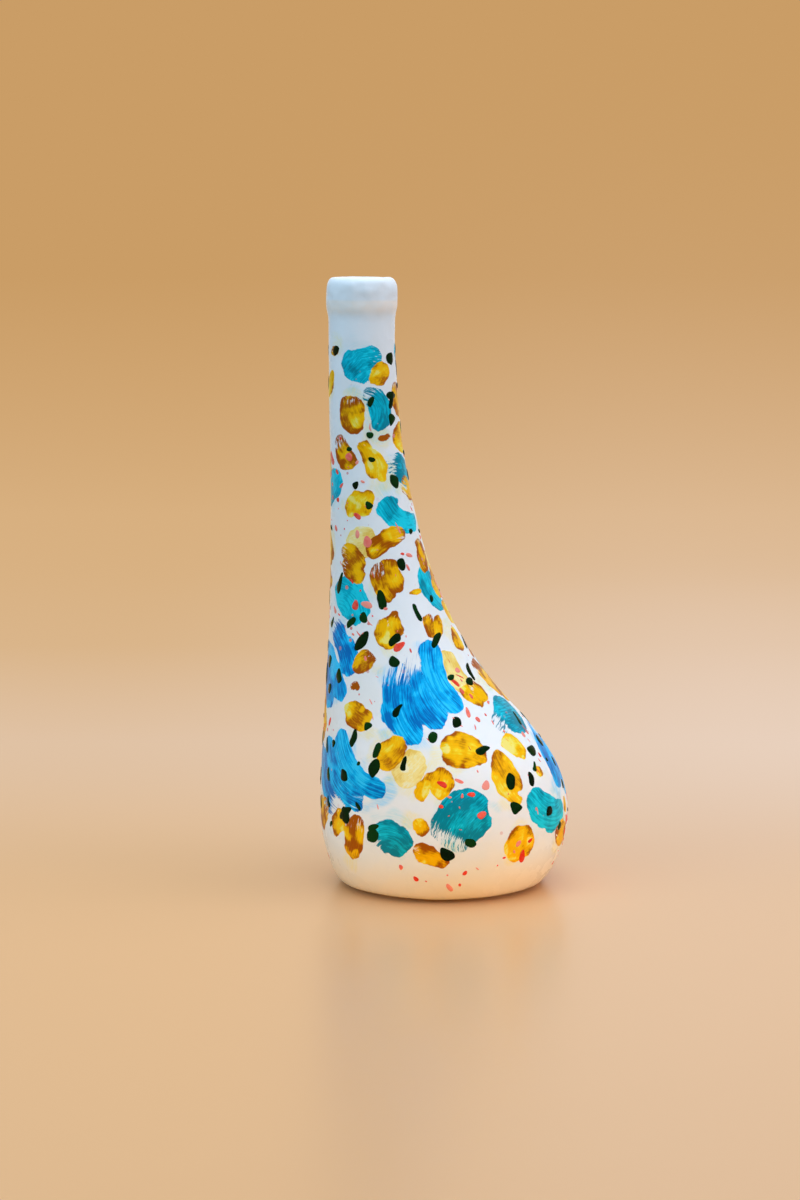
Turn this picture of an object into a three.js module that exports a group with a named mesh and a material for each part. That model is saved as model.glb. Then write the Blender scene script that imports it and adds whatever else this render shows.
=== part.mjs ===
// A tall ceramic oil cruet: a round-thrown bottle whose belly has been pushed forward under an upright neck.
// It is built as a potter builds it, from sections that are luted together with slip: a foot ring, a base
// slab, a belly, a neck and a lip collar. Millimetres, +Z up, origin on the table under the middle of the
// belly. +X is the side that the belly swells to, and the neck stands towards -X.
import * as THREE from "three";

// Outer form
const TOTAL_HEIGHT = 280;
const BELLY_RADIUS = 57.6;
const BELLY_HEIGHT = 31.8; // height of the widest ring
const BELLY_DROP = 12; // how far the wall stays steep below the widest ring
const BELLY_RISE = 59.4; // how far the belly's line runs on upwards before it sweeps in
const FOOT_RADIUS = 45.8; // lower edge of the wall
const FOOT_ROLL = 4; // how far the wall runs outwards at its lower edge before it turns up
const FOOT_SHIFT = 1.6; // how far the foot lies behind the middle of the belly
const NECK_OFFSET = 38; // how far the neck's axis stands behind the middle of the belly
const NECK_ROOT_HEIGHT = 77.3; // height that the sweep draws the neck's straight line down to
const NECK_BOW = 1.4; // hollow in the back, half way up

// Walls, mouth and collar
const WALL = 5;
const MOUTH_RADIUS = 9.5;
const MOUTH_STEP = 0.7; // how much wider the neck's bore is than the mouth
const MOUTH_ROUND = 1.2;
const COLLAR_HEIGHT = 23;
const COLLAR_SWELL = 1.4; // how far the collar stands proud of the neck
const LIP_DEPTH = 11; // from the rim down to the top of the neck inside the collar
const RIM_ROUND_WIDTH = 3.7;
const RIM_ROUND_HEIGHT = 8;

// Base and foot ring
const SLAB_RIM = 3.5; // height of the slab's edge below the belly's wall
const PLATEAU_HEIGHT = 3.5; // how far the floor rises inside the belly's wall
const FLOOR_COVE = 6; // height of the slope between floor and wall inside
const FOOT_RING_INSET = 5;
const FOOT_RING_WIDTH = 7;
const FOOT_RING_STAND = 1.5; // what shows below the slab
const FOOT_RING_KEY = 1.5; // what sits in the slab's groove

// Luted joints
const NECK_SEAM = 119; // height of the join between belly and neck
const NECK_LAP = 6;
const SLIP_GAP = 0.3; // layer of slip between two sections

// Facets
const SEGMENTS = 48;
const ROLL_STEPS = 6;
const BELLY_STEPS = 10;
const NECK_STEPS = 13;
const COLLAR_STEPS = 4;

// Sizes that follow from those above
const NECK_BORE = MOUTH_RADIUS + MOUTH_STEP;
const NECK_RADIUS = NECK_BORE + WALL;
const COLLAR_RADIUS = NECK_RADIUS + COLLAR_SWELL;
const COLLAR_SEAT = TOTAL_HEIGHT - COLLAR_HEIGHT;
const NECK_TOP = TOTAL_HEIGHT - LIP_DEPTH;
const SLAB_BOTTOM = FOOT_RING_STAND;
const SLAB_SEAM = SLAB_BOTTOM + SLAB_RIM;
const FLOOR_TOP = SLAB_SEAM + PLATEAU_HEIGHT;

const glazedWhite = { color: 0xf0efec, roughness: 0.22, metalness: 0 };
const bareClay = { color: 0xe3d3bb, roughness: 0.8, metalness: 0 };

const point = (radius, height) => new THREE.Vector2(radius, height);

// The wall's outer face is two curves that meet at the widest ring: a roll up from the foot and a sweep up
// to the neck.
const footRoll = new THREE.CubicBezierCurve(
  point(FOOT_RADIUS, SLAB_BOTTOM),
  point(FOOT_RADIUS + FOOT_ROLL, SLAB_BOTTOM),
  point(BELLY_RADIUS, BELLY_HEIGHT - BELLY_DROP),
  point(BELLY_RADIUS, BELLY_HEIGHT),
);
const neckSweep = new THREE.CubicBezierCurve(
  point(BELLY_RADIUS, BELLY_HEIGHT),
  point(BELLY_RADIUS, BELLY_HEIGHT + BELLY_RISE),
  point(NECK_RADIUS, NECK_ROOT_HEIGHT),
  point(NECK_RADIUS, COLLAR_SEAT),
);

// Where along a rising curve a height is reached, by halving.
function shareAtHeight(curve, height) {
  let low = 0;
  let high = 1;
  for (let halving = 0; halving < 40; halving += 1) {
    const middle = (low + high) / 2;
    if (curve.getPoint(middle).y < height) low = middle;
    else high = middle;
  }
  return (low + high) / 2;
}

function outerRadius(height) {
  const curve = height < BELLY_HEIGHT ? footRoll : neckSweep;
  return curve.getPoint(shareAtHeight(curve, height)).x;
}

// Points of a curve from one height to another, both included.
function stretch(curve, from, to, steps) {
  const first = shareAtHeight(curve, from);
  const last = shareAtHeight(curve, to);
  return Array.from({ length: steps + 1 }, (_, i) => curve.getPoint(first + ((last - first) * i) / steps));
}

// The same stretch on the wall's inner face, from the top down.
function innerStretch(curve, from, to, steps) {
  return stretch(curve, from, to, steps)
    .map((p) => point(p.x - WALL, p.y))
    .reverse();
}

// How far the ring at a height is pushed along X: the belly stays put, and the rings above it draw back as
// they narrow.
function lean(height) {
  if (height < BELLY_HEIGHT) return -FOOT_SHIFT * (1 - height / BELLY_HEIGHT) ** 2;
  const reached = Math.min(height, COLLAR_SEAT);
  const narrowed = (BELLY_RADIUS - outerRadius(reached)) / (BELLY_RADIUS - NECK_RADIUS);
  const climbed = (reached - BELLY_HEIGHT) / (COLLAR_SEAT - BELLY_HEIGHT);
  return NECK_BOW * Math.sin(Math.PI * climbed) ** 2 - NECK_OFFSET * narrowed;
}

// Turns a profile of radius and height on the wheel, then pushes its rings over.
function throwSection(name, profile, finish) {
  const geometry = new THREE.LatheGeometry(profile, SEGMENTS).rotateX(Math.PI / 2);
  const position = geometry.getAttribute("position");
  for (let i = 0; i < position.count; i += 1) {
    position.setX(i, position.getX(i) + lean(position.getZ(i)));
  }
  geometry.computeVertexNormals();
  const mesh = new THREE.Mesh(geometry, new THREE.MeshStandardMaterial(finish));
  mesh.name = name;
  return mesh;
}

// A profile that runs up the outside and down the inside, back to its first point.
const closed = (points) => [...points, points[0].clone()];

// The coil that the cruet stands on, keyed into a groove under the slab and left bare of glaze.
const ringOuter = FOOT_RADIUS - FOOT_RING_INSET;
const ringInner = ringOuter - FOOT_RING_WIDTH;
const ringTop = SLAB_BOTTOM + FOOT_RING_KEY;

function footRing() {
  const profile = [
    point(ringInner, 0),
    point(ringOuter, 0),
    point(ringOuter, ringTop),
    point(ringInner, ringTop),
  ];
  return throwSection("foot_ring", closed(profile), bareClay);
}

// The rolled-out floor, with a groove for the foot ring, a visible rim and a plateau inside the belly's wall.
const plateauSeat = outerRadius(SLAB_SEAM) - WALL;

function baseSlab() {
  const grooveTop = ringTop + SLIP_GAP;
  const profile = [
    point(0, SLAB_BOTTOM),
    point(ringInner - SLIP_GAP, SLAB_BOTTOM),
    point(ringInner - SLIP_GAP, grooveTop),
    point(ringOuter + SLIP_GAP, grooveTop),
    point(ringOuter + SLIP_GAP, SLAB_BOTTOM),
    ...stretch(footRoll, SLAB_BOTTOM, SLAB_SEAM, ROLL_STEPS),
    point(plateauSeat - SLIP_GAP, SLAB_SEAM),
    point(plateauSeat - SLIP_GAP, FLOOR_TOP),
    point(0, FLOOR_TOP),
  ];
  return throwSection("base_slab", profile, glazedWhite);
}

// The swollen body, standing on the slab's rim, with a gallery round its top edge for the neck.
const galleryRadius = outerRadius(NECK_SEAM) - WALL / 2;

function belly() {
  const wallFoot = SLAB_SEAM + SLIP_GAP;
  const galleryFloor = NECK_SEAM - NECK_LAP;
  const profile = [
    ...stretch(footRoll, wallFoot, BELLY_HEIGHT, ROLL_STEPS),
    ...stretch(neckSweep, BELLY_HEIGHT, NECK_SEAM, BELLY_STEPS).slice(1),
    point(galleryRadius, NECK_SEAM),
    point(galleryRadius, galleryFloor),
    ...innerStretch(neckSweep, BELLY_HEIGHT, galleryFloor, BELLY_STEPS),
    ...innerStretch(footRoll, FLOOR_TOP + FLOOR_COVE, BELLY_HEIGHT, ROLL_STEPS).slice(1),
    point(plateauSeat, FLOOR_TOP),
    point(plateauSeat, wallFoot),
  ];
  return throwSection("belly", closed(profile), glazedWhite);
}

// The drawn-out neck, with a spigot down into the belly's gallery and another up into the collar.
const collarSpigot = NECK_RADIUS - WALL / 2;

function neck() {
  const neckFoot = NECK_SEAM + SLIP_GAP;
  const spigotFoot = neckFoot - NECK_LAP;
  const spigotBore = outerRadius(NECK_SEAM) - WALL;
  const profile = [
    point(spigotBore, spigotFoot),
    point(galleryRadius - SLIP_GAP, spigotFoot),
    point(galleryRadius - SLIP_GAP, neckFoot),
    ...stretch(neckSweep, neckFoot, COLLAR_SEAT, NECK_STEPS),
    point(collarSpigot, COLLAR_SEAT),
    point(collarSpigot, NECK_TOP),
    point(NECK_BORE, NECK_TOP),
    ...innerStretch(neckSweep, neckFoot, COLLAR_SEAT, NECK_STEPS),
  ];
  return throwSection("neck", closed(profile), glazedWhite);
}

// The thick rolled lip, slipped over the neck's upper spigot.
function lipCollar() {
  const collarFoot = COLLAR_SEAT + SLIP_GAP;
  const ledge = NECK_TOP + SLIP_GAP;
  const lipWall = COLLAR_RADIUS - MOUTH_RADIUS;
  const mouthRound = Math.min(MOUTH_ROUND, lipWall / 4);
  const roundWidth = Math.min(RIM_ROUND_WIDTH, lipWall / 2);
  const roundHeight = Math.min(RIM_ROUND_HEIGHT, COLLAR_HEIGHT / 2);
  const roundFoot = TOTAL_HEIGHT - roundHeight;
  const middle = (collarFoot + roundFoot) / 2;
  const face = new THREE.Path()
    .moveTo(NECK_RADIUS, collarFoot)
    .bezierCurveTo(NECK_RADIUS, middle, COLLAR_RADIUS, middle, COLLAR_RADIUS, roundFoot)
    .absellipse(COLLAR_RADIUS - roundWidth, roundFoot, roundWidth, roundHeight, 0, Math.PI / 2)
    .lineTo(MOUTH_RADIUS + mouthRound, TOTAL_HEIGHT)
    .absarc(MOUTH_RADIUS + mouthRound, TOTAL_HEIGHT - mouthRound, mouthRound, Math.PI / 2, Math.PI)
    .lineTo(MOUTH_RADIUS, ledge)
    .lineTo(collarSpigot + SLIP_GAP, ledge)
    .lineTo(collarSpigot + SLIP_GAP, collarFoot);
  return throwSection("lip_collar", closed(face.getPoints(COLLAR_STEPS)), glazedWhite);
}

const cruet = new THREE.Group();
cruet.add(footRing(), baseSlab(), belly(), neck(), lipCollar());

export default cruet;
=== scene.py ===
# %% [markdown]
# # A painted ceramic oil cruet
# The cruet is a thrown bottle whose belly was pushed forward while the clay was soft, so that the neck
# stands upright behind it. It is glazed white and brushed with ceramic colours. The solids come from the
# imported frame, and this script dresses them: a finer wall, a hand-made surface, glaze, brushwork and
# raised drops of enamel.

# %% Load the frame
import math
import random
from functools import reduce

import bpy
import numpy as np
from mathutils import Color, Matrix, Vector


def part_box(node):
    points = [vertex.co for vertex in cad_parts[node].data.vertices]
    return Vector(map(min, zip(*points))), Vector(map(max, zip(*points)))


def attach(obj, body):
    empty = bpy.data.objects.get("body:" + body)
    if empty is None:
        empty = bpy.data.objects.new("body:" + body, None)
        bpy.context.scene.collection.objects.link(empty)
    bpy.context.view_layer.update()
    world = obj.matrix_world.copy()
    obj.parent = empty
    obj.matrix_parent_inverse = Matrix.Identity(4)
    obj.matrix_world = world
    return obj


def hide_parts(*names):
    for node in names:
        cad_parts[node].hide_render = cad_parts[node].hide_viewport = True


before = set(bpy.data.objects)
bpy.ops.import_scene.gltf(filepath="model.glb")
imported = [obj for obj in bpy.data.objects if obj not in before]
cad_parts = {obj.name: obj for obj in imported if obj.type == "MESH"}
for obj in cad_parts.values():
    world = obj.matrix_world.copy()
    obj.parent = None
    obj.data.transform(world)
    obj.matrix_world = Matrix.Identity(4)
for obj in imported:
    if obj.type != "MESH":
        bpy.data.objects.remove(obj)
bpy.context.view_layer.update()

MM = 0.001

# %% [markdown]
# ## Sizes
# A script can't read the part's source, so the sizes that drive the outer wall are repeated here in
# millimetres. A size that is typed twice can drift, so the frame's own radius is printed beside the one here.

# %% Sizes of the wall
TOTAL_HEIGHT = 280
BELLY_RADIUS = 57.6
BELLY_HEIGHT = 31.8
BELLY_DROP = 12
BELLY_RISE = 59.4
FOOT_RADIUS = 45.8
FOOT_ROLL = 4
FOOT_SHIFT = 1.6
NECK_OFFSET = 38
NECK_ROOT_HEIGHT = 77.3
NECK_BOW = 1.4
NECK_RADIUS = 15.2
COLLAR_SEAT = 257
NECK_SEAM = 119
SLAB_BOTTOM = 1.5
SLAB_SEAM = 5
WALL = 5

CURVE_STEPS = 1500


def bezier(*controls):
    """Points of radius and height on a cubic curve with four control points."""
    t = np.linspace(0, 1, CURVE_STEPS + 1)[:, None]
    weights = ((1 - t) ** 3, 3 * t * (1 - t) ** 2, 3 * t**2 * (1 - t), t**3)
    return sum(weight * np.array(point, float) for weight, point in zip(weights, controls))


foot_roll = bezier(
    (FOOT_RADIUS, SLAB_BOTTOM),
    (FOOT_RADIUS + FOOT_ROLL, SLAB_BOTTOM),
    (BELLY_RADIUS, BELLY_HEIGHT - BELLY_DROP),
    (BELLY_RADIUS, BELLY_HEIGHT),
)
neck_sweep = bezier(
    (BELLY_RADIUS, BELLY_HEIGHT),
    (BELLY_RADIUS, BELLY_HEIGHT + BELLY_RISE),
    (NECK_RADIUS, NECK_ROOT_HEIGHT),
    (NECK_RADIUS, COLLAR_SEAT),
)
wall_line = np.vstack([foot_roll, neck_sweep[1:]])


def outer_radius(height):
    return np.interp(height, wall_line[:, 1], wall_line[:, 0])


def lean(height):
    """How far the ring at a height is pushed along X."""
    height = np.asarray(height, float)
    below = -FOOT_SHIFT * (1 - height / BELLY_HEIGHT) ** 2
    reached = np.clip(height, BELLY_HEIGHT, COLLAR_SEAT)
    narrowed = (BELLY_RADIUS - outer_radius(reached)) / (BELLY_RADIUS - NECK_RADIUS)
    climbed = (reached - BELLY_HEIGHT) / (COLLAR_SEAT - BELLY_HEIGHT)
    above = NECK_BOW * np.sin(np.pi * climbed) ** 2 - NECK_OFFSET * narrowed
    return np.where(height < BELLY_HEIGHT, below, above)


belly_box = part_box("belly")
frame_radius = (belly_box[1].y - belly_box[0].y) / 2 / MM
print("belly radius in the frame:", round(frame_radius, 2), "here:", BELLY_RADIUS)

# %% [markdown]
# ## Camera
# The photograph is taken from a little above the rim, with a long lens. Its place was worked out from the
# ellipses of the rim and the foot. The long side of the picture takes the sensor's width.

# %% Camera
scene = bpy.context.scene
scene.view_settings.view_transform = "Standard"

CAMERA_PLACE = (-20.6, -1296.9, 302.65)
CAMERA_PITCH = 7.5
LENS = 85

camera_data = bpy.data.cameras.new("camera")
camera_data.lens = LENS
camera = bpy.data.objects.new("camera", camera_data)
camera.location = Vector(CAMERA_PLACE) * MM
camera.rotation_euler = (math.radians(90 - CAMERA_PITCH), 0, 0)
scene.collection.objects.link(camera)
scene.camera = camera
print("camera at", tuple(round(v, 3) for v in camera.location), "lens", LENS)

# %% [markdown]
# ## Helpers for node trees
# Every tree below is built by a few helpers. One adds a node and fills its sockets, and the others are short
# words for the nodes that come up most. A socket knows the tree that it belongs to, so most helpers take the
# tree from what they are given. A socket is looked up by its name among the enabled ones, because several
# nodes keep one hidden socket for each data type.

# %% Node helpers


def socket(sockets, name):
    return next(s for s in sockets if s.name == name and s.enabled)


def is_wire(value):
    return isinstance(value, bpy.types.NodeSocket)


def add_node(tree, kind, inputs=None, **settings):
    """Adds a node with its settings, and links or sets each input that is named."""
    node = tree.nodes.new(kind)
    for setting, value in settings.items():
        setattr(node, setting, value)
    for name, value in (inputs or {}).items():
        target = node.inputs[name] if isinstance(name, int) else socket(node.inputs, name)
        if is_wire(value):
            tree.links.new(value, target)
        else:
            target.default_value = value
    return node


def add(tree, kind, inputs=None, output=None, **settings):
    """Adds a node and returns one of its outputs, the first unless it is named."""
    outputs = add_node(tree, kind, inputs, **settings).outputs
    return socket(outputs, output) if output else next((s for s in outputs if s.enabled), None)


def tree_of(values):
    return next(value for value in values if is_wire(value)).id_data


def maths(operation, *values):
    return add(tree_of(values), "ShaderNodeMath", dict(enumerate(values)), operation=operation)


def plus(*values):
    return reduce(lambda first, second: maths("ADD", first, second), values)


def times(*values):
    return reduce(lambda first, second: maths("MULTIPLY", first, second), values)


def minus(first, second):
    return maths("SUBTRACT", first, second)


def vector_maths(operation, *values, output=None):
    inputs = dict(enumerate(values))
    return add(tree_of(values), "ShaderNodeVectorMath", inputs, output, operation=operation)


def scaled(vector, factor):
    inputs = {0: vector, "Scale": factor}
    return add(vector.id_data, "ShaderNodeVectorMath", inputs, operation="SCALE")


def parts(vector):
    """The X, Y and Z of a vector."""
    return add_node(vector.id_data, "ShaderNodeSeparateXYZ", {0: vector}).outputs


def joined(*values):
    """A vector from its X, Y and Z."""
    return add(tree_of(values), "ShaderNodeCombineXYZ", dict(enumerate(values)))


def ramp(value, low, high, first=0.0, last=1.0, style="SMOOTHSTEP"):
    """Turns low..high into first..last, with soft ends."""
    inputs = {"Value": value, "From Min": low, "From Max": high, "To Min": first, "To Max": last}
    return add(value.id_data, "ShaderNodeMapRange", inputs, interpolation_type=style)


print("node helpers ready")

# %% Tree helpers
SOCKET_KINDS = {
    "Geometry": "NodeSocketGeometry",
    "Count": "NodeSocketInt",
    "Seed": "NodeSocketInt",
    "Object": "NodeSocketObject",
    "Material": "NodeSocketMaterial",
    "Name": "NodeSocketString",
}


def geometry_tree(name, *inputs):
    """A new geometry tree. An input's last word gives its kind, and an unknown word means a number."""
    tree = bpy.data.node_groups.new(name, "GeometryNodeTree")
    for label in ("Geometry", *inputs):
        kind = SOCKET_KINDS.get(label.split()[-1], "NodeSocketFloat")
        tree.interface.new_socket(label, in_out="INPUT", socket_type=kind)
    tree.interface.new_socket("Geometry", in_out="OUTPUT", socket_type="NodeSocketGeometry")
    given = tree.nodes.new("NodeGroupInput").outputs
    return tree, {label: given[label] for label in ("Geometry", *inputs)}


def named(tree, name, kind="FLOAT"):
    """An attribute that the points of a mesh carry."""
    return add(tree, "GeometryNodeInputNamedAttribute", {"Name": name}, data_type=kind)


def store(geometry, name, value, kind="FLOAT", domain="POINT"):
    inputs = {"Geometry": geometry, "Name": name, "Value": value}
    tree = geometry.id_data
    return add(tree, "GeometryNodeStoreNamedAttribute", inputs, data_type=kind, domain=domain)


def move(geometry, **places):
    return add(geometry.id_data, "GeometryNodeSetPosition", {"Geometry": geometry, **places})


def close_tree(geometry, material):
    """Ends a tree: instances become real, and the finish is set."""
    tree = geometry.id_data
    real = add(tree, "GeometryNodeRealizeInstances", {"Geometry": geometry})
    finished = add(tree, "GeometryNodeSetMaterial", {"Geometry": real, "Material": material})
    add(tree, "NodeGroupOutput", {"Geometry": finished})
    print(tree.name, "tree:", len(tree.nodes), "nodes")


def run_tree(piece, tree, **values):
    """Runs a tree on a piece and keeps the result as a plain mesh. Underscores in a name stand for spaces."""
    modifier = piece.modifiers.new(tree.name, "NODES")
    modifier.node_group = tree
    wanted = {label.replace("_", " "): value for label, value in values.items()}
    for item in tree.interface.items_tree:
        if item.in_out == "INPUT" and item.name in wanted:
            modifier[item.identifier] = wanted[item.name]
    graph = bpy.context.evaluated_depsgraph_get()
    plain = bpy.data.meshes.new_from_object(
        piece.evaluated_get(graph), preserve_all_data_layers=True, depsgraph=graph
    )
    piece.modifiers.remove(modifier)
    guide = piece.data
    piece.data = plain
    bpy.data.meshes.remove(guide)
    plain.name = piece.name
    return piece


print("tree helpers ready for", sorted(SOCKET_KINDS))

# %% [markdown]
# ## The potter's wheel
# A pot is a profile turned on a wheel. Spin or the Screw modifier would turn it, but here each ring is also
# pushed sideways, so a tree does both: the guide mesh holds one point for each ring, with the radius in X,
# the push in Y and the height in Z, and a grid is wrapped round those rings. Last, a soft noise moves the
# wall by a few tenths of a millimetre, as hands do, and a finer one dents the collar, where fingers pinched
# it. The noise depends on the place alone, so two sections still meet at their joint.

# %% Wheel tree
UV_NAME = "OFBake"
SEAM_REACH = 0.002
NOISE_MIDDLE = 0.5
PUSH_ROUGHNESS = 0.55
PUSH_SHARES = (1.0, 1.0, 0.5)
LUMP_DETAIL = 3.0
DENT_DETAIL = 1.0

wheel, given = geometry_tree(
    "potters wheel",
    "Segment Count",
    "Unevenness",
    "Lump Size",
    "Pinch",
    "Dent Size",
    "Pinch Start",
    "Pinch End",
    "Glaze Material",
)

rings = add(wheel, "GeometryNodeAttributeDomainSize", {"Geometry": given["Geometry"]}, "Point Count")
around = plus(given["Segment Count"], 1)
grid = add_node(wheel, "GeometryNodeMeshGrid", {"Vertices X": around, "Vertices Y": rings}).outputs
mapped = store(grid["Mesh"], UV_NAME, grid["UV Map"], "FLOAT2", "CORNER")
index = add(wheel, "GeometryNodeInputIndex")
ring = maths("MODULO", index, rings)
step = maths("FLOOR", maths("DIVIDE", index, rings))
angle = plus(times(maths("DIVIDE", step, given["Segment Count"]), 2 * math.pi), math.pi / 2)
here = add(wheel, "GeometryNodeInputPosition")


def from_guide(value, kind):
    """What the guide point of this ring holds."""
    inputs = {"Geometry": given["Geometry"], "Value": value, "Index": ring}
    return add(wheel, "GeometryNodeSampleIndex", inputs, data_type=kind)


def chance_push(place, scale, reach, detail):
    """A push of chance in any direction, from a noise at a place."""
    inputs = {"Vector": place, "Scale": scale, "Detail": detail, "Roughness": PUSH_ROUGHNESS}
    lumps = add(place.id_data, "ShaderNodeTexNoise", inputs, "Color")
    return scaled(vector_maths("SUBTRACT", lumps, (NOISE_MIDDLE,) * 3), reach)


def soft_push(size, reach, detail):
    """A push with lumps of one size. It moves the wall sideways more than up and down."""
    push = chance_push(here, maths("DIVIDE", 1, size), reach, detail)
    return vector_maths("MULTIPLY", push, PUSH_SHARES)


radius, push, height = parts(from_guide(here, "FLOAT_VECTOR"))
across = maths("MULTIPLY_ADD", radius, maths("COSINE", angle), push)
turned = move(mapped, Position=joined(across, times(radius, maths("SINE", angle)), height))
skinned = store(turned, "skin", from_guide(named(wheel, "skin", "INT"), "INT"), "INT")
sealed = add(wheel, "GeometryNodeMergeByDistance", {"Geometry": skinned, "Distance": SEAM_REACH * MM})
pinched = ramp(parts(here)["Z"], given["Pinch Start"], given["Pinch End"], 0.0, given["Pinch"])
uneven = soft_push(given["Lump Size"], given["Unevenness"], LUMP_DETAIL)
dented = vector_maths("ADD", uneven, soft_push(given["Dent Size"], pinched, DENT_DETAIL))
smooth = add(wheel, "GeometryNodeSetShadeSmooth", {"Geometry": move(sealed, Offset=dented)})
close_tree(smooth, given["Glaze Material"])

# %% [markdown]
# ## The five sections
# Each section is a closed profile: up the outside, across the joint, down the inside and back. Rings lie
# close together on the outside, where the brushwork is stored on the points, and far apart inside, where
# nobody looks. The joints are luted and glazed over, so the dressed sections meet without the layer of slip
# that the solids leave between them.

# %% Lines of a profile
ROUND_STEPS = 12


def evenly(points, spacing):
    """Points at even steps along a line of points."""
    line = np.array(points, float)
    run = np.concatenate(([0], np.cumsum(np.hypot(*np.diff(line, axis=0).T))))
    even = np.linspace(0, run[-1], max(1, round(run[-1] / spacing)) + 1)
    return np.column_stack([np.interp(even, run, line[:, 0]), np.interp(even, run, line[:, 1])])


def wall(low, high, inset=0.0):
    """The wall's line between two heights, moved inwards by an inset."""
    inner = wall_line[(wall_line[:, 1] > low) & (wall_line[:, 1] < high)]
    ends = [[(outer_radius(h), h)] for h in (low, high)]
    return np.vstack([ends[0], inner, ends[1]]) - (inset, 0)


def arc(centre, width, height, first, last, steps=ROUND_STEPS, fullness=2.0):
    """Points on an ellipse, or on a fuller corner where the fullness is more than two."""
    angles = np.radians(np.linspace(first, last, steps + 1))
    bulge = [np.sign(v) * np.abs(v) ** (2 / fullness) for v in (np.cos(angles), np.sin(angles))]
    return np.column_stack([centre[0] + width * bulge[0], centre[1] + height * bulge[1]])


print("the wall's line has", len(wall_line), "points")

# %% Profiles
JOINT, OUTSIDE, INSIDE = 0, 1, 2
RING_SPACING = 0.75
FINE_SPACING = RING_SPACING / 2
EDGE_SPACING = 0.4
INSIDE_SPACING = 4.0

MOUTH_RADIUS = 9.5
MOUTH_ROUND = 1.2
NECK_BORE = 10.2
NECK_TOP = 269
COLLAR_RADIUS = 16.2
COLLAR_STEP = (259.5, 269.0)
RIM_ROUND_WIDTH = 3.55
RIM_ROUND_HEIGHT = 8
RIM_FULLNESS = 2.4
RIM_STEPS = 60
FLOOR_TOP = 8.5
FLOOR_COVE = 6
UNDERSIDE_RADIUS = 44.8
RING_OUTER = 40.8
RING_INNER = 33.8
RING_EDGE = 0.5
EDGE_STEPS = 5

plateau_seat = outer_radius(SLAB_SEAM) - WALL
collar_middle = sum(COLLAR_STEP) / 2
rim_centre = (COLLAR_RADIUS - RIM_ROUND_WIDTH, TOTAL_HEIGHT - RIM_ROUND_HEIGHT)
mouth_centre = (MOUTH_RADIUS + MOUTH_ROUND, TOTAL_HEIGHT - MOUTH_ROUND)
collar_face = np.vstack(
    [
        [(NECK_RADIUS, COLLAR_SEAT)],
        bezier(
            (NECK_RADIUS, COLLAR_STEP[0]),
            (NECK_RADIUS, collar_middle),
            (COLLAR_RADIUS, collar_middle),
            (COLLAR_RADIUS, COLLAR_STEP[1]),
        ),
        arc(rim_centre, RIM_ROUND_WIDTH, RIM_ROUND_HEIGHT, 0, 90, RIM_STEPS, RIM_FULLNESS),
        arc(mouth_centre, MOUTH_ROUND, MOUTH_ROUND, 90, 180),
        [(MOUTH_RADIUS, NECK_TOP)],
    ]
)
ring_edges = np.vstack(
    [
        arc((RING_INNER + RING_EDGE, RING_EDGE), RING_EDGE, RING_EDGE, 180, 270, EDGE_STEPS),
        arc((RING_OUTER - RING_EDGE, RING_EDGE), RING_EDGE, RING_EDGE, 270, 360, EDGE_STEPS),
    ]
)
PROFILES = {
    "foot_ring": [
        (JOINT, [(RING_INNER, SLAB_BOTTOM)]),
        (OUTSIDE, evenly(ring_edges, EDGE_SPACING)),
        (JOINT, [(RING_OUTER, SLAB_BOTTOM), (RING_INNER, SLAB_BOTTOM)]),
    ],
    "base_slab": [
        (INSIDE, evenly([(0, SLAB_BOTTOM), (UNDERSIDE_RADIUS, SLAB_BOTTOM)], INSIDE_SPACING)),
        (OUTSIDE, evenly(wall(SLAB_BOTTOM, SLAB_SEAM), FINE_SPACING)),
        (JOINT, [(plateau_seat, SLAB_SEAM), (plateau_seat, FLOOR_TOP), (0, FLOOR_TOP)]),
    ],
    "belly": [
        (OUTSIDE, evenly(wall(SLAB_SEAM, NECK_SEAM), RING_SPACING)),
        (INSIDE, evenly(wall(FLOOR_TOP + FLOOR_COVE, NECK_SEAM, WALL), INSIDE_SPACING)[::-1]),
        (JOINT, [(plateau_seat, FLOOR_TOP), (plateau_seat, SLAB_SEAM)]),
        (OUTSIDE, [(outer_radius(SLAB_SEAM), SLAB_SEAM)]),
    ],
    "neck": [
        (OUTSIDE, evenly(wall(NECK_SEAM, COLLAR_SEAT), RING_SPACING)),
        (INSIDE, evenly(wall(NECK_SEAM, COLLAR_SEAT, WALL), INSIDE_SPACING)[::-1]),
        (OUTSIDE, [(outer_radius(NECK_SEAM), NECK_SEAM)]),
    ],
    "lip_collar": [
        (OUTSIDE, evenly(collar_face, FINE_SPACING)),
        (INSIDE, [(NECK_BORE, NECK_TOP), (NECK_BORE, COLLAR_SEAT)]),
        (OUTSIDE, [(NECK_RADIUS, COLLAR_SEAT)]),
    ],
}
GLAZED = [name for name in PROFILES if name != "foot_ring"]
print({name: sum(len(points) for _, points in profile) for name, profile in PROFILES.items()}, "rings")

# %% Throw the sections
SEGMENTS = 320
UNEVENNESS = 1.3
LUMP_SIZE = 30
PINCH = 1.3
DENT_SIZE = 9
PINCHED = (262, 270)

white_glaze = bpy.data.materials.new("painted white glaze")
bare_clay = bpy.data.materials.new("bare clay")


def guide_object(name, points, **attributes):
    """A mesh of loose points, in millimetres, whose attributes a tree can read."""
    mesh = bpy.data.meshes.new(name)
    mesh.from_pydata([tuple(p * MM for p in point) for point in points], [], [])
    for label, values in attributes.items():
        values = np.asarray(values)
        kind = "FLOAT_VECTOR" if values.ndim == 2 else "INT" if values.dtype.kind == "i" else "FLOAT"
        stored = mesh.attributes.new(label, kind, "POINT")
        stored.data.foreach_set("vector" if values.ndim == 2 else "value", values.ravel())
    guide = bpy.data.objects.new(name, mesh)
    scene.collection.objects.link(guide)
    return guide


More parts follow.
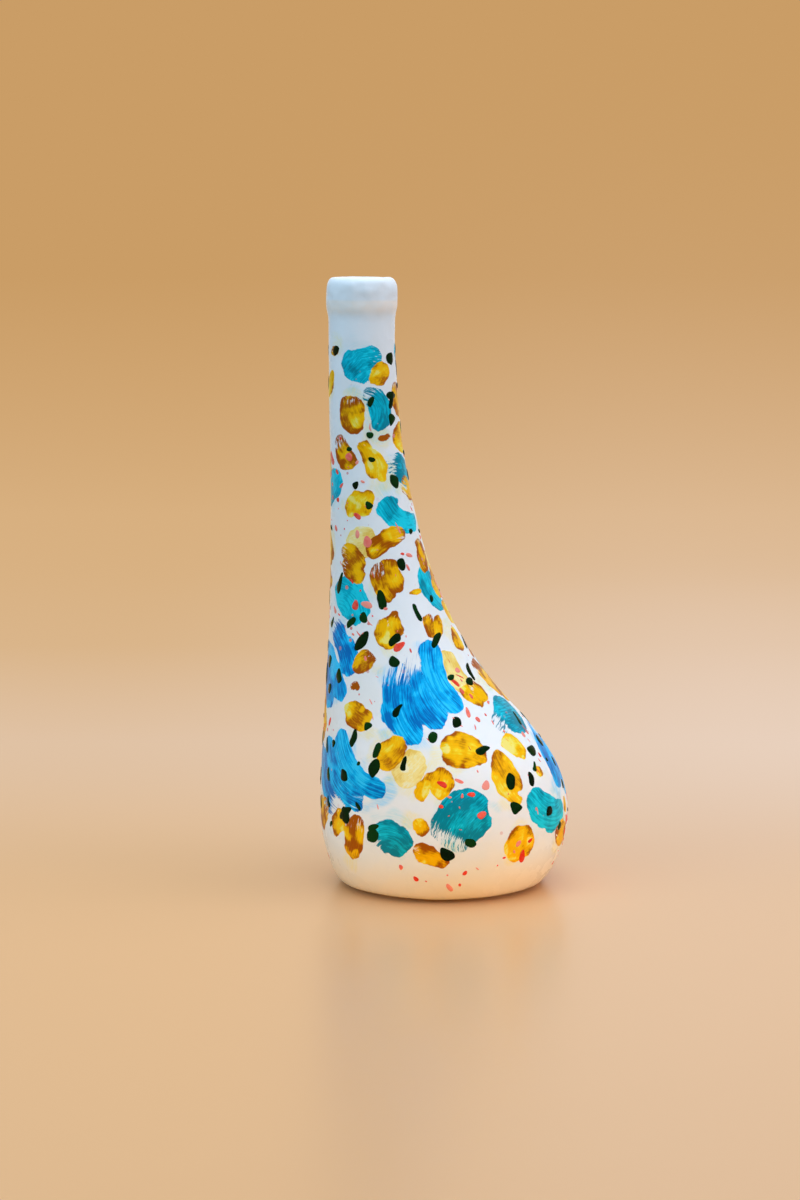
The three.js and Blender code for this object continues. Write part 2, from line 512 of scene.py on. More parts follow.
def throw(name):
    points = np.vstack([np.array(part, float) for _, part in PROFILES[name]])
    skins = np.concatenate([[kind] * len(part) for kind, part in PROFILES[name]])
    rings = np.column_stack([points[:, 0], lean(points[:, 1]), points[:, 1]])
    piece = guide_object("dressed_" + name, rings, skin=skins.astype(np.int32))
    run_tree(
        piece,
        wheel,
        Segment_Count=SEGMENTS,
        Unevenness=UNEVENNESS * MM if name in GLAZED else 0.0,
        Lump_Size=LUMP_SIZE * MM,
        Pinch=PINCH * MM,
        Dent_Size=DENT_SIZE * MM,
        Pinch_Start=PINCHED[0] * MM,
        Pinch_End=PINCHED[1] * MM,
        Glaze_Material=white_glaze if name in GLAZED else bare_clay,
    )
    print(piece.name, len(piece.data.polygons), "faces", len(piece.data.vertices), "points")
    return piece


sections = {name: throw(name) for name in PROFILES}

# %% [markdown]
# ## One glaze over the joints
# Each section is a mesh of its own, so Blender would shade the rings at a joint from one side only and show a
# faint line. Custom normals mend that: the faces that meet at a place on the outside are averaged across the
# sections, the inside is smoothed on its own, and the joints keep their flat faces.

# %% Shared normals
STEPS_A_METRE = 1e6
SHORTEST_NORMAL = 1e-20


def read(collection, label, width=1, kind=float):
    """One value or one row of values for each thing in a mesh's collection."""
    values = np.empty(len(collection) * width, kind)
    collection.foreach_get(label, values)
    return values.reshape(-1, width) if width > 1 else values


def corner_rows(mesh):
    """The place, the kind of face and the face's normal, weighted by its area, at each corner."""
    corners = read(mesh.loops, "vertex_index", kind=int)
    sizes = read(mesh.polygons, "loop_total", kind=int)
    skins = read(mesh.attributes["skin"].data, "value", kind=np.int32)[corners]
    starts = np.concatenate(([0], np.cumsum(sizes)[:-1]))
    lowest, highest = np.minimum.reduceat(skins, starts), np.maximum.reduceat(skins, starts)
    kinds = np.where(lowest == highest, lowest, JOINT)
    weighted = read(mesh.polygons, "normal", 3) * read(mesh.polygons, "area")[:, None]
    places = np.rint(read(mesh.vertices, "co", 3)[corners] * STEPS_A_METRE).astype(np.int64)
    return places, np.repeat(kinds, sizes), np.repeat(weighted, sizes, axis=0)


def weld_normals(pieces):
    rows = [corner_rows(piece.data) for piece in pieces]
    place, kind, face = (np.concatenate(column) for column in zip(*rows))
    _, group = np.unique(np.column_stack([place, kind]), axis=0, return_inverse=True)
    group = group.ravel()
    summed = np.zeros((group.max() + 1, 3))
    np.add.at(summed, group, face)
    normals = np.where((kind == JOINT)[:, None], face, summed[group])
    normals /= np.maximum(np.linalg.norm(normals, axis=1), SHORTEST_NORMAL)[:, None]
    ends = np.cumsum([len(places) for places, _, _ in rows])[:-1]
    for piece, part in zip(pieces, np.split(normals, ends)):
        piece.data.normals_split_custom_set(part.astype(np.float32))
    return len(summed)


print("shared normals:", weld_normals([sections[name] for name in GLAZED]))

# %% [markdown]
# ## Brush strokes
# The decoration is brushed by hand: ochre petals, turquoise commas, broad blue sweeps and a few pale washes.
# Each stroke is a short walk over the wall with a width that changes along it, and a sweep is a few strokes
# side by side. The walks are laid out by chance from a fixed seed. For each stroke chance offers a few, and
# the roomiest is kept, or none where all of them would crowd the others.

# %% Walks over the wall
WALK_STEP = 1.0
FEWEST_STEPS = 2
SMALL_TURN = 1e-3
SMALL_RISE = 0.05


def on_wall(angle, height):
    radius = outer_radius(height)
    return np.array([lean(height) + radius * np.cos(angle), radius * np.sin(angle), height])


def walk(angle, height, heading, length, bend):
    """Points, directions and normals of a stroke that heads off from straight up at a place, and bends."""
    points, directions, normals = [], [], []
    count = max(FEWEST_STEPS, int(length / WALK_STEP))
    for i in range(count + 1):
        here = on_wall(angle, height)
        by_angle = (on_wall(angle + SMALL_TURN, height) - here) / SMALL_TURN
        by_height = (on_wall(angle, height + SMALL_RISE) - here) / SMALL_RISE
        level = by_angle / np.linalg.norm(by_angle)
        upright = by_height - level * (by_height @ level)
        upright /= np.linalg.norm(upright)
        aim = heading + bend * i / count
        direction = np.cos(aim) * upright + np.sin(aim) * level
        points.append(here)
        directions.append(direction)
        normals.append(np.cross(level, upright))
        steps = np.column_stack([by_angle, by_height])
        moved = np.linalg.lstsq(steps, direction * length / count, rcond=None)[0]
        angle, height = angle + moved[0], height + moved[1]
    return np.array(points), np.array(directions), np.array(normals)


def beside(angle, height, heading, distance):
    """The place sideways of a place, seen along a heading."""
    sideways = heading + math.copysign(math.pi / 2, distance)
    point = walk(angle, height, sideways, abs(distance), 0.0)[0][-1]
    return math.atan2(point[1], point[0] - lean(point[2])), point[2]


print("a place on the belly:", on_wall(0.0, BELLY_HEIGHT))

# %% Kinds of stroke
# One row for each kind of stroke: its colour, how many, the heights, then the ranges of half width, length
# and bend, how far its heading strays from straight up, the shares of the half width at head, middle and
# tail, the gap that it keeps to its own colour and how far it may run into another. Strokes that lie abreast
# also say how far apart, in half widths, and how far they are shifted along. All in millimetres and degrees.
ALONE = dict(abreast=1, apart=0, shift=0)
STROKES = (
    dict(
        colour="blue", count=7, abreast=3, apart=1.65, shift=5, heights=(36, 100), half=(6.6, 8.4),
        length=(24, 38), bend=(25, 75), heading=180, shares=(0.8, 1.0, 0.75), gap=5, overlap=1.5,
    ),
    dict(
        ALONE, colour="turquoise", count=25, heights=(20, 250), half=(7.0, 10.5),
        length=(9, 22), bend=(20, 110), heading=180, shares=(1.0, 0.95, 0.5), gap=2.0, overlap=3.5,
    ),
    dict(
        colour="ochre", count=26, abreast=2, apart=1.05, shift=3, heights=(24, 245), half=(4.4, 6.2),
        length=(6, 18), bend=(0, 50), heading=50, shares=(0.75, 1.0, 0.7), gap=1.5, overlap=3.5,
    ),
    dict(
        ALONE, colour="ochre", count=52, heights=(22, 250), half=(5.4, 9.0),
        length=(4, 17), bend=(0, 50), heading=70, shares=(0.7, 1.0, 0.65), gap=0.8, overlap=4.5,
    ),
    dict(
        ALONE, colour="ochre", count=18, heights=(24, 250), half=(2.2, 3.4),
        length=(2, 9), bend=(0, 60), heading=180, shares=(0.8, 1.0, 0.6), gap=1.0, overlap=1.0,
    ),
    dict(
        ALONE, colour="straw", count=14, heights=(18, 240), half=(6.0, 8.6),
        length=(4, 12), bend=(0, 40), heading=180, shares=(0.8, 1.0, 0.6), gap=5, overlap=4.0,
    ),
)
print({kind["colour"] for kind in STROKES}, "in", len(STROKES), "kinds of stroke")

# %% Strokes of chance
UNLIKE = 0.25
BARE_COLLAR = 253
BARE_FOOT = 17
NECK_SHRINK = 0.76
GROWTH = 1.8
SPARE_CHANCE = 0.1


def small_on_neck(height):
    """Strokes shrink with the wall that carries them."""
    share = (outer_radius(height) - NECK_RADIUS) / (BELLY_RADIUS - NECK_RADIUS)
    return NECK_SHRINK + (1 - NECK_SHRINK) * min(1.0, share * GROWTH)


def try_strokes(kind, chance):
    """Strokes side by side at a place of chance, or nothing where they would run off the painted part."""
    height = chance.uniform(*kind["heights"])
    angle = chance.uniform(0, 2 * math.pi)
    heading = math.radians(chance.uniform(-kind["heading"], kind["heading"]))
    size = small_on_neck(height)
    half = chance.uniform(*kind["half"]) * size
    length = chance.uniform(*kind["length"]) * size
    bend = math.radians(chance.uniform(*kind["bend"])) * chance.choice((-1, 1))
    if chance.random() > outer_radius(height) / BELLY_RADIUS + SPARE_CHANCE:
        return None
    strokes = []
    for lane in range(kind["abreast"]):
        offset = (lane - (kind["abreast"] - 1) / 2) * half * kind["apart"]
        start = beside(angle, height, heading, offset)
        if kind["abreast"] > 1:
            shift = chance.uniform(-kind["shift"], kind["shift"])
            start = beside(*start, heading - math.pi / 2, shift)
        points, directions, normals = walk(*start, heading, length, bend)
        t = np.linspace(0, 1, len(points))
        head, middle, tail = (s * chance.uniform(1 - UNLIKE, 1 + UNLIKE) for s in kind["shares"])
        pull = 2 * middle - (head + tail) / 2
        halves = half * ((1 - t) ** 2 * head + 2 * t * (1 - t) * pull + t**2 * tail)
        if (points[:, 2] + halves).max() > BARE_COLLAR or (points[:, 2] - halves).min() < BARE_FOOT:
            return None
        stroke = dict(spine=points, direction=directions, normal=normals, half=halves, share=t)
        stroke["chance"] = np.full(len(points), chance.random())
        stroke["length"] = np.full(len(points), length)
        strokes.append(stroke)
    return strokes


print("strokes on the neck have", small_on_neck(COLLAR_SEAT), "of the size they have on the belly")

# %% Lay the strokes out
ROOMY = 100.0
CANDIDATES = 24
BRUSH_SEED = 11


def gathered(strokes):
    """All points and half widths of some strokes."""
    return np.vstack([s["spine"] for s in strokes]), np.concatenate([s["half"] for s in strokes])


def room(strokes, others):
    """The gap between some strokes and the nearest of the others."""
    if not others:
        return ROOMY
    points, halves = gathered(strokes)
    other_points, other_halves = gathered(others)
    apart = np.linalg.norm(points[:, None] - other_points[None], axis=2)
    return (apart - halves[:, None] - other_halves[None]).min()


def lay_out(kinds, seed):
    """Lays the strokes one by one, each time the roomiest of a few that chance offers."""
    chance = random.Random(seed)
    laid = {kind["colour"]: [] for kind in kinds}
    for kind in kinds:
        for _ in range(kind["count"]):
            best, best_room = None, 0.0
            for strokes in (try_strokes(kind, chance) for _ in range(CANDIDATES)):
                if strokes is None:
                    continue
                others = [s for colour in laid if colour != kind["colour"] for s in laid[colour]]
                own = room(strokes, laid[kind["colour"]]) - kind["gap"]
                free = min(own, room(strokes, others) + kind["overlap"])
                if free > best_room:
                    best, best_room = strokes, free
            laid[kind["colour"]] += best or []
    return laid


stroke_guides = lay_out(STROKES, BRUSH_SEED)
print({colour: len(strokes) for colour, strokes in stroke_guides.items()}, "strokes")

# %% [markdown]
# ## From strokes to the wall
# A colour could be painted into an image, but an image has a fixed grain. Instead, a tree stores two things
# on each point of the wall for each colour: how far the point lies outside the nearest stroke, and where it
# lies on that stroke. The shader then draws crisp edges and bristle marks from these, at any distance. The
# tree looks for the nearest stroke by its points, and a narrow stroke would cut a flat side into a broad one
# next to it. So the points of narrower strokes stand further off the wall, and each carries its true place.

# %% Brush tree
brush, given = geometry_tree("brush strokes", "Stroke Object", "Edge Name", "Brush Name", "Glaze Material")
stroke_points = add(brush, "GeometryNodeObjectInfo", {"Object": given["Stroke Object"]}, "Geometry")
wall_point = add(brush, "GeometryNodeInputPosition")
search = {"Geometry": stroke_points, "Sample Position": wall_point}
nearest = add(brush, "GeometryNodeSampleNearest", search, domain="POINT")


def stroke_value(name, kind="FLOAT"):
    """What the nearest point of a stroke holds."""
    inputs = {"Geometry": stroke_points, "Value": named(brush, name, kind), "Index": nearest}
    return add(brush, "GeometryNodeSampleIndex", inputs, data_type=kind)


away = vector_maths("SUBTRACT", scaled(wall_point, 1 / MM), stroke_value("spine", "FLOAT_VECTOR"))
direction = stroke_value("direction", "FLOAT_VECTOR")
edge = minus(vector_maths("LENGTH", away, output="Value"), stroke_value("half"))
along = vector_maths("DOT_PRODUCT", away, direction, output="Value")
share = plus(stroke_value("share"), maths("DIVIDE", along, stroke_value("length")))
sideways = vector_maths("CROSS_PRODUCT", add(brush, "GeometryNodeInputNormal"), direction)
offside = vector_maths("DOT_PRODUCT", away, sideways, output="Value")
edged = store(given["Geometry"], given["Edge Name"], edge)
stroke_place = joined(share, offside, stroke_value("chance"))
close_tree(store(edged, given["Brush Name"], stroke_place, "FLOAT_VECTOR"), given["Glaze Material"])

# %% Paint the sections
for colour, strokes in stroke_guides.items():
    stored = {label: np.concatenate([s[label] for s in strokes]).astype(np.float32) for label in strokes[0]}
    stand_off = np.sqrt(stored["half"].max() ** 2 - stored["half"] ** 2)
    points = stored["spine"] + stored.pop("normal") * stand_off[:, None]
    guide = guide_object(colour + "_strokes", points.astype(float), **stored)
    for name in GLAZED:
        run_tree(
            sections[name],
            brush,
            Stroke_Object=guide,
            Edge_Name=colour + "_edge",
            Brush_Name=colour + "_brush",
            Glaze_Material=white_glaze,
        )
    print(colour, "stored from", len(points), "points")
    bpy.data.objects.remove(guide)

# %% [markdown]
# ## The brushed colour
# One shader group draws any of the colours. The stored distance gets a little noise, so that the edge is
# ragged as a brush leaves it. A colour is thin where little of it was left in the brush and dark in blotches
# where much of it lay, and a wet one also pools along its rim. Bristle marks run along the stroke, and
# towards its end they break the colour open. In places a thin wash runs out past the edge, over bare glaze.

# %% Shader helpers


def in_millimetres(tree):
    return scaled(add(tree, "ShaderNodeTexCoord", output="Object"), 1 / MM)


def noise(vector, scale, detail=2.0, roughness=0.5):
    inputs = {"Vector": vector, "Scale": scale, "Detail": detail, "Roughness": roughness}
    return add(vector.id_data, "ShaderNodeTexNoise", inputs)


def patches(vector, scale, detail, low, high, first=0.0, last=1.0):
    """Soft patches of chance: first where the noise is under low, last where it is over high."""
    return ramp(noise(vector, scale, detail), low, high, first, last)


def mix(share, first, second):
    inputs = {"Factor": share, "A": first, "B": second}
    return add(share.id_data, "ShaderNodeMix", inputs, "Result", data_type="RGBA", clamp_factor=True)


def linear(code):
    """A colour written as six hex digits, as the linear colour that a shader takes."""
    shares = [level / 255 for level in bytes.fromhex(code)]
    return (*Color(shares).from_srgb_to_scene_linear(), 1.0)


print("middle grey is", round(linear("808080")[0], 4), "in a shader")

# %% A group for a brushed colour
paint = bpy.data.node_groups.new("brushed colour", "ShaderNodeTree")
for way, labels, kind in (
    ("INPUT", ("Under", "Thin", "Body", "Pooled"), "NodeSocketColor"),
    ("INPUT", ("Edge", "Dryness", "Cover", "Bristles", "Wash", "Taken"), "NodeSocketFloat"),
    ("INPUT", ("Brush",), "NodeSocketVector"),
    ("OUTPUT", ("Colour",), "NodeSocketColor"),
    ("OUTPUT", ("Coat", "Relief"), "NodeSocketFloat"),
):
    for label in labels:
        paint.interface.new_socket(label, in_out=way, socket_type=kind)
given = paint.nodes.new("NodeGroupInput").outputs
millimetres = in_millimetres(paint)


def about_zero(value):
    return minus(value, NOISE_MIDDLE)


def wobble(scale, reach, detail):
    return times(about_zero(noise(millimetres, scale, detail)), reach)


def shifted(vector, shift):
    return vector_maths("ADD", vector, shift)


print("inputs of a brushed colour:", given.keys())

# %% Edge and bristles
# Bristle marks: how many along a stroke, how many in each millimetre across it, and how unlike strokes are.
HAIRS_ALONG = 2.2
HAIRS_ACROSS = 1.3
HAIRS_UNLIKE = 61
HAIR_NOISE = (1.0, 3.0, 0.65)
# Waves of a ragged edge: scale in each millimetre, reach in millimetres and detail.
EDGE_WAVES = ((0.075, 6.5, 1.0), (0.19, 2.6, 1.0), (0.45, 0.7, 2.0))
EDGE_FRAY = 3.0
EDGE_SOFTNESS = (-0.16, 0.1, 1.0, 0.0)
# A stroke dries towards its end, some sooner than others, and dry colour breaks between the bristles.
DRYING = (0.35, 1.1)
THIRST = (0.0, 1.0, 0.2, 1.5)
BREAKING = (-0.06, 0.08)

share, sideways, chance = parts(given["Brush"])
hair = joined(times(share, HAIRS_ALONG), times(sideways, HAIRS_ACROSS), times(chance, HAIRS_UNLIKE))
bristles = noise(hair, *HAIR_NOISE)
frayed = times(about_zero(bristles), given["Dryness"], EDGE_FRAY)
outside = plus(given["Edge"], *(wobble(*wave) for wave in EDGE_WAVES), frayed)
dry = times(ramp(share, *DRYING), given["Dryness"], ramp(chance, *THIRST))
coat = times(ramp(outside, *EDGE_SOFTNESS), ramp(minus(bristles, dry), *BREAKING))
print("edge and bristles:", len(paint.nodes), "nodes")

# %% Load of colour
# Patches: scale, detail and the range of the noise. A shift keeps them from lying over each other.
BLOTCHES = (0.11, 2.5, 0.36, 0.66)
LIFTED = (0.12, 1.0, 0.58, 0.68)
LIFTED_SHIFT = (37.0, 5.0, 11.0)
GRAIN_NOISE = (0.9, 3.0, 0.6)
HAIR_STREAKS = (0.3, 0.7)
RIM = (-2.6, 0.0)
# How much each of these adds to the load.
BLOTCH_LOAD = 0.65
RIM_LOAD = 0.28
GRAIN_LOAD = 0.2
STROKE_LOAD = 0.5
LIFTED_LOAD = -0.45
# The loads at which the colour turns from thin to its body, and from that to pooled.
THIN_TO_BODY = (-0.2, 0.2)
BODY_TO_POOLED = (0.22, 0.75)

lifted = patches(shifted(millimetres, LIFTED_SHIFT), *LIFTED)
load = plus(
    times(patches(millimetres, *BLOTCHES), BLOTCH_LOAD),
    times(ramp(outside, *RIM), minus(1.0, given["Bristles"]), RIM_LOAD),
    times(about_zero(noise(millimetres, *GRAIN_NOISE)), GRAIN_LOAD),
    times(about_zero(chance), STROKE_LOAD),
    times(lifted, LIFTED_LOAD),
    times(about_zero(ramp(bristles, *HAIR_STREAKS)), given["Bristles"]),
)
filled = mix(ramp(load, *THIN_TO_BODY), given["Thin"], given["Body"])
pooled = mix(ramp(load, *BODY_TO_POOLED), filled, given["Pooled"])
print("load of colour:", len(paint.nodes), "nodes")

# %% Wash and cover
RUNNY = (0.05, 1.0, 0.48, 0.66)
RUNNY_SHIFT = (13.0, 71.0, 29.0)
WASH_REACH = 7.0
WASH_FADE = (-3.5, 0.0, 1.0, 0.0)
WASH_STREAKS = (0.35, 0.65, 0.3, 1.0)
HIDING = (-0.3, 0.0)
HAIR_RELIEF = (0.2, 0.8, 0.02, 0.06)

runny = patches(shifted(millimetres, RUNNY_SHIFT), *RUNNY)
run_out = ramp(minus(outside, times(runny, WASH_REACH)), *WASH_FADE)
bare = times(minus(1.0, given["Taken"]), given["Wash"])
wash = times(run_out, runny, ramp(bristles, *WASH_STREAKS), bare)
under = mix(wash, given["Under"], given["Thin"])
shown = mix(times(coat, ramp(load, *HIDING, given["Cover"], 1.0)), under, pooled)
relief = times(coat, ramp(bristles, *HAIR_RELIEF))
add(paint, "NodeGroupOutput", {"Colour": shown, "Coat": coat, "Relief": relief})
print("brushed colour:", len(paint.nodes), "nodes")

# %% [markdown]
# ## White glaze
# The glaze is a satin white that is never quite even: it is a touch warmer where it runs thin, and it carries
# a few tiny iron specks near the foot and a fine pink spatter higher up. Towards the foot it carries painted
# warm light, as bounced from the floor. A pale warm band on the collar is patchy like biscuit where the glaze
# drew back, and it is also painted light that lifts the shade under the collar's step. Where a colour lies,
# the surface is a little duller than the bare glaze, and it stands up by a few hundredths of a millimetre.

# %% Material helpers and specks
SPECK_RARITY = 2.5
SPECK_SOFTNESS = (-0.02, 0.02)


def open_nodes(owner):
    """The empty node tree of a material or a world."""
    owner.use_nodes = True
    owner.node_tree.nodes.clear()
    return owner.node_tree


def close_material(tree, relief=None, **inputs):
    """Ends a material in one shader. Underscores in a name stand for spaces, and relief is in millimetres."""
    sockets = {label.replace("_", " "): value for label, value in inputs.items()}
    if relief:
        bump = {"Height": relief, "Distance": MM, "Strength": 1.0}
        sockets["Normal"] = add(tree, "ShaderNodeBump", bump)
    shader = add(tree, "ShaderNodeBsdfPrincipled", sockets)
    add(tree, "ShaderNodeOutputMaterial", {"Surface": shader})


def specks(vector, spacing, largest, kept, shift):
    """Round specks on a loose grid: a share of the cells holds one, and its size is chance."""
    tree = vector.id_data
    places = shifted(vector, (shift, 2 * shift, 3 * shift))
    cell = add_node(tree, "ShaderNodeTexVoronoi", {"Vector": places, "Scale": 1 / spacing}).outputs
    keep, size, _ = add_node(tree, "ShaderNodeSeparateColor", {0: cell["Color"]}).outputs
    reach = times(maths("POWER", size, SPECK_RARITY), largest / spacing)
    dot = ramp(minus(cell["Distance"], reach), *SPECK_SOFTNESS, 1.0, 0.0)
    return times(dot, maths("LESS_THAN", keep, kept))


print("half of the specks are smaller than", round(0.5**SPECK_RARITY, 2), "of the largest")

# %% Colours on the glaze
# The colours in the order that they are laid, each with a value for every input of the group named here.
LOOKS = ("Thin", "Body", "Pooled", "Dryness", "Cover", "Bristles", "Wash")
COLOURS = {
    "straw": ("FFF0B4", "FFE48C", "F4CA5C", 0.22, 0.7, 0.4, 0.2),
    "blue": ("14CCFF", "00AAEA", "0070BC", 0.5, 0.97, 0.95, 0.5),
    "turquoise": ("18D4E6", "00B4CA", "00869A", 0.36, 1.0, 0.7, 0.3),
    "ochre": ("FFE42C", "FFBC00", "AC5400", 0.3, 0.8, 0.22, 0.35),
}


def brush_colours(tree, colour):
    """Lays the colours over each other. Returns the colour, where there is any, and how far it stands up."""
    taken, raised = 0.0, 0.0
    for name, looks in COLOURS.items():
        inputs = {label: linear(v) if isinstance(v, str) else v for label, v in zip(LOOKS, looks)}
        inputs |= {"Under": colour, "Taken": taken}
        inputs["Edge"] = add(tree, "ShaderNodeAttribute", output="Fac", attribute_name=name + "_edge")
        inputs["Brush"] = add(tree, "ShaderNodeAttribute", output="Vector", attribute_name=name + "_brush")
        brushed = add_node(tree, "ShaderNodeGroup", inputs, node_tree=paint).outputs
        colour = brushed["Colour"]
        taken = maths("MAXIMUM", brushed["Coat"], taken)
        raised = maths("MAXIMUM", brushed["Relief"], raised)
    return colour, taken, raised


print("colours from the first to the last:", list(COLOURS))

# %% White glaze
GLAZE_WHITE = linear("F3F2EF")
THIN_GLAZE = linear("EEE6D8")
THIN_PATCHES = (0.02, 2.0, 0.45, 0.75, 0.0, 0.25)
# Painted warm light towards the foot, as bounced from the floor, fading out above.
FOOT_WARM_LIGHT = linear("F6E4C8")
FOOT_LIGHT_FADE = (26, 3, 0.0, 0.9)
# A patchy pale band on the collar, like biscuit, that is also painted light: it lifts the shade under the
# collar's step.
BISCUIT_AND_FILL = linear("FFEDDA")
BISCUIT_FILL_START = (262, 267)
BISCUIT_FILL_END = (269, 270.6, 1.0, 0.0)
BISCUIT_FILL_PATCHES = (0.1, 3.0, 0.35, 0.65, 0.6, 1.0)
# Specks: spacing and largest radius in millimetres, the share of the places that holds one, and a shift.
SPECK_IRON = linear("9A7A4E")
IRON_SPECKS = (6.0, 0.42, 0.16, 3.0)
IRON_FADE = (34, 20)
SPECK_PINK = linear("DE8C84")
PINK_SPECKS = (4.2, 1.1, 0.5, 11.0)
PINK_PATCHES = (0.022, 1.0, 0.42, 0.6)
PINK_START = (24, 45)
PINK_END = (246, 238)
SATIN = (0.09, 3.0, 0.3, 0.7, 0.24, 0.32)
DULLER_COLOUR = 0.1
RIPPLE_NOISE, RIPPLE_RELIEF = (0.05, 1.0), 0.06
PITTING_NOISE, PITTING_RELIEF = (0.2, 2.0), 0.16
GLAZE_SHINE = 0.1


def dress_white_glaze():
    tree = open_nodes(white_glaze)
    millimetres = in_millimetres(tree)
    height = parts(millimetres)["Z"]
    colour = mix(patches(millimetres, *THIN_PATCHES), GLAZE_WHITE, THIN_GLAZE)
    # Painted warm light towards the foot.
    colour = mix(ramp(height, *FOOT_LIGHT_FADE), colour, FOOT_WARM_LIGHT)
    # A pale band on the collar, partly biscuit and partly painted light on the shade of the step.
    biscuit_and_fill_band = times(ramp(height, *BISCUIT_FILL_START), ramp(height, *BISCUIT_FILL_END))
    colour = mix(times(biscuit_and_fill_band, patches(millimetres, *BISCUIT_FILL_PATCHES)), colour, BISCUIT_AND_FILL)
    iron = times(specks(millimetres, *IRON_SPECKS), ramp(height, *IRON_FADE))
    colour = mix(iron, colour, SPECK_IRON)
    colour, taken, raised = brush_colours(tree, colour)
    spattered = times(ramp(height, *PINK_START), ramp(height, *PINK_END), patches(millimetres, *PINK_PATCHES))
    colour = mix(times(specks(millimetres, *PINK_SPECKS), spattered), colour, SPECK_PINK)
    rough = plus(patches(millimetres, *SATIN), times(taken, DULLER_COLOUR))
    ripple = times(noise(millimetres, *RIPPLE_NOISE), RIPPLE_RELIEF)
    pitting = times(noise(millimetres, *PITTING_NOISE), PITTING_RELIEF)
    relief = plus(ripple, pitting, raised)
    close_material(tree, relief, Base_Color=colour, Roughness=rough, Specular_IOR_Level=GLAZE_SHINE)


dress_white_glaze()
print(white_glaze.name + ":", len(white_glaze.node_tree.nodes), "nodes")

# %% [markdown]
# ## Bare clay
# A potter wipes the glaze off the foot ring, or the pot would stick to the kiln shelf. What is left is dry,
# sandy clay with a few dark grains. The grain is bump alone, because it is finer than the mesh.

# %% Bare clay of the foot ring
CLAY_DARK = linear("D9C5A6")
CLAY_PALE = linear("EBDCC4")
CLAY_GRAIN = linear("A88C66")
CLAY_SPECKS = (1.6, 0.35, 0.3, 5.0)
SAND_NOISE = (0.9, 5.0, 0.7)
SAND_RANGE = (0.3, 0.7)
SAND_ROUGHNESS = (0.75, 0.92)
SAND_GRAIN, SAND_RELIEF = (3.0, 4.0, 0.7), 0.12


def dress_bare_clay():
    tree = open_nodes(bare_clay)
    millimetres = in_millimetres(tree)
    sandy = noise(millimetres, *SAND_NOISE)
    colour = mix(ramp(sandy, *SAND_RANGE), CLAY_DARK, CLAY_PALE)
    colour = mix(specks(millimetres, *CLAY_SPECKS), colour, CLAY_GRAIN)
    rough = ramp(sandy, *SAND_RANGE, *SAND_ROUGHNESS)
    grain = times(noise(millimetres, *SAND_GRAIN), SAND_RELIEF)
    close_material(tree, grain, Base_Color=colour, Roughness=rough)


dress_bare_clay()
print(bare_clay.name + ":", len(bare_clay.node_tree.nodes), "nodes")

# %% [markdown]
# ## Drops of enamel
# Dark green and coral enamel was flicked on with a loaded brush, and it stands up from the glaze in small
# domes. Hundreds of domes that follow a curved wall are work for Geometry Nodes: points are scattered on the
# outside in loose patches, each gets a low dome that is stretched, turned and wobbled by chance, and the
# domes are then laid down onto the nearest place of the wall, so that none of them floats. The coral keeps a
# gap to the blue sweeps, where it would read as spots.

# %% One dome
DOME_RINGS = ((1.0, 0.0), (0.86, 0.6), (0.5, 0.93))


def drop_dome(sides, taper, waist):
    """A closed dome of unit size with its height stored on its points. It tapers and may have a waist."""
    points, heights = [], []
    for reach, rise in DOME_RINGS:
        for side in range(sides):
            angle = 2 * math.pi * side / sides
            slim = (1 - taper * math.sin(angle)) * (1 - waist * math.cos(math.pi * math.sin(angle)))
            points.append((reach * slim * math.cos(angle), reach * math.sin(angle), 0.0))
            heights.append(rise)
    points.append((0.0, 0.0, 0.0))
    heights.append(1.0)
    faces = [tuple(reversed(range(sides)))]
    for ring in range(len(DOME_RINGS) - 1):
        for side in range(sides):
            here, there = ring * sides + side, ring * sides + (side + 1) % sides
            faces.append((here, there, there + sides, here + sides))
    last = (len(DOME_RINGS) - 1) * sides
    faces += [(last + side, last + (side + 1) % sides, len(points) - 1) for side in range(sides)]
    mesh = bpy.data.meshes.new("drop")
    mesh.from_pydata(points, [], faces)
    mesh.attributes.new("dome", "FLOAT", "POINT").data.foreach_set("value", heights)
    return mesh


print("rings of a dome:", len(DOME_RINGS))

# %% Where the drops fall
PATCH_DETAIL = 1.0
PATCH_FADE = (-0.05, 0.12)
UP = (0, 0, 1)

drops, given = geometry_tree(
    "enamel drops",
    "Belly Object",
    "Neck Object",
    "Spacing",
    "Smallest",
    "Largest",
    "Rarity",
    "Shortest",
    "Slimmest",
    "Heading",
    "Spread",
    "Thickness",
    "Patch Size",
    "Patch Level",
    "Low Edge",
    "High Edge",
    "Blue Gap",
    "Scatter Seed",
    "Enamel Material",
)
shells = add_node(drops, "GeometryNodeJoinGeometry")
skin = {"A": named(drops, "skin", "INT"), "B": OUTSIDE}
on_outside = add(drops, "FunctionNodeCompare", skin, data_type="INT", operation="EQUAL")
for label in ("Belly Object", "Neck Object"):
    section = add(drops, "GeometryNodeObjectInfo", {"Object": given[label]}, "Geometry")
    chosen = {"Geometry": section, "Selection": on_outside}
    shell = add(drops, "GeometryNodeSeparateGeometry", chosen, domain="POINT")
    drops.links.new(shell, shells.inputs[0])
outside = shells.outputs[0]

